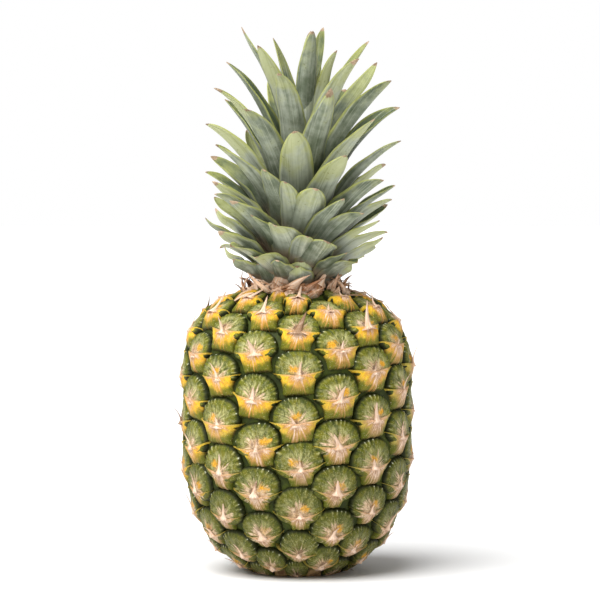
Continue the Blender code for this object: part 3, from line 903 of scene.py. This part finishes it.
def blade(shell, place, half_width, thickness, fold):
    """A thin closed blade: place(t, sideways, lift) gives its points from foot (0) to tip (1)."""
    t = np.linspace(0, 1, shell.rows)[:, None]
    u = np.linspace(-1, 1, shell.columns)[None, :]
    sideways = u * half_width(t)
    lift = fold * half_width(t) * (1 - np.abs(u))
    body = thickness * (1 - 0.7 * np.abs(u)) * (1 - 0.6 * t)
    upper = place(t, sideways, lift + body)
    under = place(t, sideways, lift)
    shape = (shell.rows, shell.columns)
    numbers = {
        "dry_along": np.tile(np.broadcast_to(t, shape).ravel(), 2),
        "dry_across": np.tile(np.broadcast_to(u, shape).ravel(), 2),
    }
    return np.concatenate([upper.reshape(-1, 3), under.reshape(-1, 3)]), numbers


class PINEAPPLE_OT_points(Operator):
    """Make the dry papery point that stands over the middle of every eye"""

    bl_idname = "pineapple.points"
    bl_label = "Papery points"

    def execute(self, context):
        sizes, colours = context.scene.pineapple_sizes, context.scene.pineapple_colours
        shell = Shell(10, 5, 0.4)
        eyes = all_eyes()
        gathered = Gathered(shell, len(eyes))
        for number, eye in enumerate(eyes):
            dice = random.Random(POINT_SEED + number)
            length = sizes.point_length * dice.choice((0.25, 0.5, 0.7, 0.9, 1.0, 1.2))
            width = dice.uniform(0.0010, 0.0018)
            bend = dice.gauss(0, 0.40)
            curl = dice.uniform(0.0, 0.0018)
            luck = eye.luck
            if dice.random() < CURLED_POINTS_SHARE:
                curl = dice.uniform(0.0035, 0.0060)
                width *= 1.4
                luck = dice.choice((0.2, 0.5, 1.5))
            start = dice.uniform(-0.0010, 0.0010)
            tall = min(1.0, max(0.0, (eye.arc - TALL_POINTS_ARC) / TALL_POINTS_FADE))
            length *= 1 + 0.7 * tall
            width *= 1 + 0.35 * tall
            curl += 0.0016 * tall

            def half_width(t):
                return width * (1 - t) ** 0.75 * (1 + 1.3 * np.exp(-(t / 0.14) ** 2)) + 0.00012

            def place(t, sideways, lift):
                x = start + bend * length * t ** 1.6 + sideways
                y = -0.0026 + (length + 0.0020) * t
                rise = 0.0043 - 0.0006 * np.sin(np.pi * t) + curl * t ** 2
                return eye.world(x, y, rise + lift)

            points, numbers = blade(shell, place, half_width, 0.00035, 0.30)
            gathered.add(points, {**numbers, "eye_luck": luck})
        finish = papery_finish("papery_point", colours.papery, colours.dry, 0.0)
        gathered.build("eye_points", finish)
        return {"FINISHED"}


class PINEAPPLE_OT_stalk(Operator):
    """Make the cut stalk with its ragged skin and fibrous face"""

    bl_idname = "pineapple.stalk"
    bl_label = "Stalk"

    def execute(self, context):
        colours = context.scene.pineapple_colours
        sides, rings = 96, 16
        radius = STALK_HIGH[0]
        thickness = STALK_HIGH[2] - STALK_LOW[2]
        turns = np.linspace(0, math.tau, sides, endpoint=False)
        dice = np.random.default_rng(STALK_SEED)
        ragged = 1 - 0.03 * dice.random(sides)
        points = [[0, 0, STALK_LOW[2]]]
        for ring in range(1, rings + 1):
            share = ring / rings
            rough = 0.00018 * dice.random(sides) * (share < 0.9)
            r = radius * share * (1 - (1 - ragged) * share ** 8)
            points += np.stack([r * np.sin(turns), -r * np.cos(turns), STALK_LOW[2] + rough],
                               axis=-1).tolist()
        r = radius * ragged
        level = np.full(sides, STALK_LOW[2] + thickness)
        points += np.stack([r * np.sin(turns), -r * np.cos(turns), level], axis=-1).tolist()
        points.append([0, 0, STALK_LOW[2] + thickness])
        faces = [(0, 1 + (i + 1) % sides, 1 + i) for i in range(sides)]
        faces += ring_quads(1, rings + 1, sides).tolist()
        last = 1 + rings * sides
        faces += [(last + i, last + (i + 1) % sides, len(points) - 1) for i in range(sides)]
        piece = add_piece("stalk_cut", points, faces, stalk_finish(colours))
        piece.data.set_sharp_from_angle(angle=math.radians(50))
        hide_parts("stalk_stub")
        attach(piece, "root")
        return {"FINISHED"}


# ---------------------------------------------------------------- crown

def lean(points):
    """Bend crown points slightly towards +X, more so towards its top."""
    rise = np.maximum(points[..., 2] - CROWN_START, 0.0) / CROWN_HEIGHT
    points[..., 0] += CROWN_LEAN * rise ** 1.5
    return points


def crown_stem_radius(share):
    """Radius of the crown's stem, where share runs from its foot (0) to its tip (1)."""
    return CROWN_STEM_RADIUS + share * (CROWN_STEM_TIP - CROWN_STEM_RADIUS)


def leaf_curve(share):
    """Three control points (radius, height) of a leaf's line, outermost (0) to innermost (1)."""
    foot_radius = crown_stem_radius(0.94 * share) + 0.0011
    foot_height = CROWN_START + 0.0010 + 0.94 * share * CROWN_STEM_HEIGHT
    closeness = max(0.90 - 1.9 * share, (share - 0.45) / 0.56)
    tip_radius = CROWN_SPREAD * (1 - closeness ** 5) ** 0.6
    rise = share ** 1.12
    tip_height = CROWN_START + 0.010 + (CROWN_HEIGHT - 0.010) * rise
    out, up = tip_radius - foot_radius, tip_height - foot_height
    arch = 0.06 + 0.12 * share ** 0.7
    middle_radius = max(foot_radius, foot_radius + out / 2 - arch * up)
    middle_height = foot_height + up / 2 + arch * out
    return (foot_radius, foot_height), (middle_radius, middle_height), (tip_radius, tip_height)


def curve_points(controls, t):
    """Radius, height and unit direction along a quadratic curve."""
    (r0, z0), (r1, z1), (r2, z2) = controls
    radius = (1 - t) ** 2 * r0 + 2 * t * (1 - t) * r1 + t * t * r2
    height = (1 - t) ** 2 * z0 + 2 * t * (1 - t) * z1 + t * t * z2
    along_r = 2 * (1 - t) * (r1 - r0) + 2 * t * (r2 - r1)
    along_z = 2 * (1 - t) * (z1 - z0) + 2 * t * (z2 - z1)
    length = np.hypot(along_r, along_z)
    return radius, height, along_r / length, along_z / length


FILLER_LEAVES = 26
BASE_LEAVES = 11
NECK_SCRAPS = 90
# Heart leaves: azimuth in degrees, width share, then the line's radii and heights.
HEART_LEAVES = (
    (4, 1.30, ((0.006, 0.048), (0.0125, 0.100), (0.0075, 0.1395))),
    (-78, 0.75, ((0.006, 0.052), (0.012, 0.112), (0.0400, 0.1385))),
    (64, 0.95, ((0.006, 0.046), (0.010, 0.095), (0.0160, 0.1290))),
)
LEAF_ROWS = 30
LEAF_COLUMNS = 11
LEAF_BASE_SPREAD = math.radians(26)
LEAF_WIDEST_SPREAD = math.radians(60)


def leaf_points(number, sizes, controls=None, narrowing=1.0, azimuth=None):
    """Points of one crown leaf and the numbers that its finish reads."""
    share = number / (CROWN_LEAVES - 1)
    dice = random.Random(number)
    controls = controls or leaf_curve(share)
    azimuth = number * GOLDEN_TURN if azimuth is None else azimuth
    length = 1 - 0.16 * dice.random() * (1 - share)
    width = sizes.leaf_width * (0.72 + 0.45 * share * (1 - share) + 0.18 * dice.random())
    width *= 1 - 0.20 * max(0.0, share - 0.75) / 0.25
    width *= narrowing
    luck = dice.random()
    wither = dice.random()
    twist = dice.uniform(-0.5, 0.5)
    sway = dice.uniform(-0.05, 0.05)
    curl = dice.uniform(-0.0030, 0.0060) * (1 if wither < 0.45 else 0.25)
    phase = dice.uniform(0, math.tau)
    t = 1 - (1 - np.linspace(0, 1, LEAF_ROWS)[:, None]) ** 1.25
    u = np.linspace(-1, 1, LEAF_COLUMNS)[None, :]
    radius, height, along_r, along_z = curve_points(controls, t * length)
    taper = (0.8 + 0.5 * np.minimum(t, 0.4)) * (1 - t ** 3.8) ** 0.74 + 0.012
    most = LEAF_BASE_SPREAD
    most = most + (LEAF_WIDEST_SPREAD - most) * np.minimum(1.0, 2.2 * t)
    spread = np.minimum(most, np.arcsin(np.minimum(0.95, width * taper / (2 * radius))))
    half = radius * spread
    side = np.abs(u)
    lift = sizes.leaf_channel * half * np.minimum(1.0, 2 * t) * side ** 1.5
    lift = lift + half * u * np.sin(twist * t ** 2)
    lift = lift + curl * np.clip((t - 0.80) / 0.20, 0, 1) ** 2
    ripple = 0.00035 * np.sin(t * 21 + phase + 2 * u) * side ** 2 * np.sin(np.pi * t)
    thickness = sizes.leaf_thickness * (1 - 0.55 * t) * (1 - 0.75 * side ** 2.5)
    turn = azimuth + u * spread + sway * t ** 2
    layers = []
    for offset in (-0.5, 0.5):
        off = lift + ripple + offset * thickness
        r = radius - off * along_z
        z = height + off * along_r
        layers.append(np.stack([r * np.sin(turn), -r * np.cos(turn), z], axis=-1).reshape(-1, 3))
    points = lean(np.concatenate(layers))
    span = np.hypot(controls[2][0] - controls[0][0], controls[2][1] - controls[0][1]) * length
    flat = np.broadcast_to
    shape = (LEAF_ROWS, LEAF_COLUMNS)
    dryness = np.clip((t - (0.95 if wither < 0.25 else 0.98)) / 0.05 + 0.5, 0, 1)
    numbers = {
        "leaf_across": flat(u, shape), "leaf_along": flat(t, shape),
        "leaf_offset": flat(u * half, shape), "leaf_distance": flat(t * span, shape),
        "leaf_dry": flat(dryness, shape), "leaf_luck": np.full(shape, luck),
    }
    numbers = {key: np.tile(value.ravel(), 2) for key, value in numbers.items()}
    count = LEAF_ROWS * LEAF_COLUMNS
    numbers["leaf_back"] = np.concatenate([np.ones(count), np.zeros(count)])
    return points, numbers


class PINEAPPLE_OT_leaves(Operator):
    """Make the crown's leaves, each channelled, ribbed and a little dry at its tip"""

    bl_idname = "pineapple.leaves"
    bl_label = "Crown leaves"

    def execute(self, context):
        sizes, colours = context.scene.pineapple_sizes, context.scene.pineapple_colours
        green = leaf_finish(colours)
        shell = Shell(LEAF_ROWS, LEAF_COLUMNS)
        leaves = [(f"leaf_{number + 1:02d}", f"crown_leaf_{number + 1:02d}",
                   leaf_points(number, sizes)) for number in range(CROWN_LEAVES)]
        leaves += [(f"small_leaf_{number + 1:02d}", None,
                    leaf_points(number + 0.5, sizes, None, 0.7))
                   for number in range(FILLER_LEAVES)]
        for number in range(BASE_LEAVES):
            height = number / BASE_LEAVES
            line = ((0.0192, CROWN_START + 0.0005),
                    (0.0240 - 0.001 * height, CROWN_START + 0.0070),
                    (0.0285 - 0.004 * height, CROWN_START + 0.0130 + 0.006 * height))
            leaves.append((f"base_leaf_{number + 1:02d}", None,
                           leaf_points(number - 0.35, sizes, line, 1.15)))
        for number, (azimuth, widening, line) in enumerate(HEART_LEAVES):
            line = [(radius, CROWN_START + height) for radius, height in line]
            leaf = leaf_points(number + 50.25, sizes, line, widening, math.radians(azimuth))
            leaves.append((f"heart_leaf_{number + 1:02d}", None, leaf))
        for name, node, (points, numbers) in leaves:
            piece = add_piece(name, points, shell.faces, green, numbers,
                              shell.places.reshape(-1, 2))
            if node:
                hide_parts(node)
            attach(piece, "root")
        return {"FINISHED"}


class PINEAPPLE_OT_neck(Operator):
    """Make the dry scraps of bract round the crown's neck and dress the crown's stem"""

    bl_idname = "pineapple.neck"
    bl_label = "Neck bracts"

    def execute(self, context):
        colours = context.scene.pineapple_colours
        shell = Shell(9, 7)
        gathered = Gathered(shell, NECK_SCRAPS)
        for number in range(NECK_SCRAPS):
            dice = random.Random(NECK_SEED + number)
            azimuth = number * GOLDEN_TURN + dice.uniform(-0.1, 0.1)
            tier = number / NECK_SCRAPS
            radius = 0.0295 - 0.0095 * tier + dice.uniform(-0.001, 0.001)
            foot = FRUIT_HIGH[2] - 0.0050 + 0.0070 * tier
            length = dice.uniform(0.004, 0.0130)
            width = dice.uniform(0.0012, 0.0055)
            tilt = math.radians(dice.uniform(-20, 70))
            bend = dice.uniform(-1.3, 1.3)
            curl = dice.uniform(-1.6, 1.6)

            def half_width(t):
                return width * (1 - t ** 1.7) ** 0.9 + 0.0001

            def place(t, sideways, lift):
                angle = tilt + curl * t
                r = radius + length * t * np.sin(angle) - lift * np.cos(angle)
                z = foot + length * t * np.cos(angle) + lift * np.sin(angle)
                turn = azimuth + (sideways + bend * length * t ** 2) / radius
                return np.stack([r * np.sin(turn), -r * np.cos(turn), z], axis=-1)

            points, numbers = blade(shell, place, half_width, 0.0004, -0.3)
            gathered.add(points, {**numbers, "eye_luck": dice.random()})
        finish = papery_finish("dry_bract", (0.84, 0.50, 0.28), (0.34, 0.13, 0.045), 0.26)
        gathered.build("neck_bracts", finish)
        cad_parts["crown_stem"].material_slots[0].material = stem_finish(colours)
        return {"FINISHED"}


# ---------------------------------------------------------------- stage

FLOOR_HALF_WIDTH = 6.0
FLOOR_GAP = 0.0002
CAMERA_DISTANCE = 1.9
CAMERA_ELEVATION = math.radians(3.0)
CAMERA_SIDESTEP = 0.0016
SENSOR_WIDTH = 36.0
VIEW_WIDTH = 0.327
# Lights: name, azimuth, elevation, strength and softness, with angles in degrees.
SUNS = (("key", -42, 57, 5.0, 56), ("fill", 50, 60, 0.3, 70))


def add_sun(name, azimuth, elevation, strength, softness):
    """A soft distant light from an azimuth (0 is the front, + to the right) and elevation."""
    data = bpy.data.lights.new(name, "SUN")
    data.energy = strength
    data.angle = math.radians(softness)
    lamp = bpy.data.objects.new(name, data)
    turn, rise = math.radians(azimuth), math.radians(elevation)
    source = Vector((math.sin(turn) * math.cos(rise), -math.cos(turn) * math.cos(rise),
                     math.sin(rise)))
    lamp.rotation_euler = (-source).to_track_quat("-Z", "Y").to_euler()
    lamp.location = source
    bpy.context.scene.collection.objects.link(lamp)


def pale_world():
    """White near the horizon and a softer grey overhead."""
    world = bpy.data.worlds.new("studio")
    world.use_nodes = True
    nodes, links = world.node_tree.nodes, world.node_tree.links
    way = nodes.new("ShaderNodeTexCoord")
    split = nodes.new("ShaderNodeSeparateXYZ")
    fade = nodes.new("ShaderNodeMapRange")
    fade.interpolation_type = "SMOOTHSTEP"
    for key, value in (("From Min", 0.05), ("From Max", 0.18), ("To Min", 1.0), ("To Max", 0.22)):
        fade.inputs[key].default_value = value
    links.new(way.outputs["Generated"], split.inputs[0])
    links.new(split.outputs["Z"], fade.inputs["Value"])
    links.new(fade.outputs["Result"], nodes["Background"].inputs["Color"])
    nodes["Background"].inputs["Strength"].default_value = 1.0
    return world


class PINEAPPLE_OT_stage(Operator):
    """Set the pale floor, the soft lights and the camera"""

    bl_idname = "pineapple.stage"
    bl_label = "Floor, lights and camera"

    def execute(self, context):
        scene = context.scene
        middle = Vector((CAMERA_SIDESTEP, 0.0, 0.5 * (FRUIT_LOW[2] + CAD_BOX[1][2])))
        bm = bmesh.new()
        bmesh.ops.create_grid(bm, x_segments=1, y_segments=1, size=FLOOR_HALF_WIDTH)
        mesh = bpy.data.meshes.new("floor")
        bm.to_mesh(mesh)
        bm.free()
        mesh.materials.append(floor_finish(scene.pineapple_colours))
        floor = bpy.data.objects.new("floor", mesh)
        floor.location = (0, 0, FRUIT_LOW[2] - FLOOR_GAP)
        scene.collection.objects.link(floor)
        scene.world = pale_world()
        for sun in SUNS:
            add_sun(*sun)
        camera = bpy.data.objects.new("camera", bpy.data.cameras.new("camera"))
        camera.data.sensor_width = SENSOR_WIDTH
        camera.data.lens = SENSOR_WIDTH * CAMERA_DISTANCE / VIEW_WIDTH
        offset = Vector((0, -math.cos(CAMERA_ELEVATION), math.sin(CAMERA_ELEVATION)))
        offset *= CAMERA_DISTANCE
        camera.location = middle + offset
        camera.rotation_euler = (-offset).to_track_quat("-Z", "Y").to_euler()
        scene.collection.objects.link(camera)
        scene.camera = camera
        scene.view_settings.view_transform = "Standard"
        return {"FINISHED"}


class PINEAPPLE_PT_panel(Panel):
    """Lists the pineapple's sizes, colours and pieces"""

    bl_idname = "PINEAPPLE_PT_panel"
    bl_label = "Pineapple"
    bl_space_type = "VIEW_3D"
    bl_region_type = "UI"
    bl_category = "Pineapple"

    def draw(self, context):
        for group in (context.scene.pineapple_sizes, context.scene.pineapple_colours):
            column = self.layout.column()
            for name in group.__annotations__:
                column.prop(group, name)
        for operator in OPERATORS:
            self.layout.operator(operator.bl_idname)


OPERATORS = (
    PINEAPPLE_OT_rind,
    PINEAPPLE_OT_domes,
    PINEAPPLE_OT_bracts,
    PINEAPPLE_OT_points,
    PINEAPPLE_OT_stalk,
    PINEAPPLE_OT_leaves,
    PINEAPPLE_OT_neck,
    PINEAPPLE_OT_stage,
)
CLASSES = (PineappleSizes, PineappleColours, *OPERATORS, PINEAPPLE_PT_panel)


def register():
    for cls in CLASSES:
        bpy.utils.register_class(cls)
    bpy.types.Scene.pineapple_sizes = PointerProperty(type=PineappleSizes)
    bpy.types.Scene.pineapple_colours = PointerProperty(type=PineappleColours)


def unregister():
    del bpy.types.Scene.pineapple_colours
    del bpy.types.Scene.pineapple_sizes
    for cls in reversed(CLASSES):
        bpy.utils.unregister_class(cls)


def main():
    """Build every piece in order."""
    register()
    bpy.ops.pineapple.rind()
    bpy.ops.pineapple.domes()
    bpy.ops.pineapple.bracts()
    bpy.ops.pineapple.points()
    bpy.ops.pineapple.stalk()
    bpy.ops.pineapple.leaves()
    bpy.ops.pineapple.neck()
    bpy.ops.pineapple.stage()


if __name__ == "__main__":
    main()
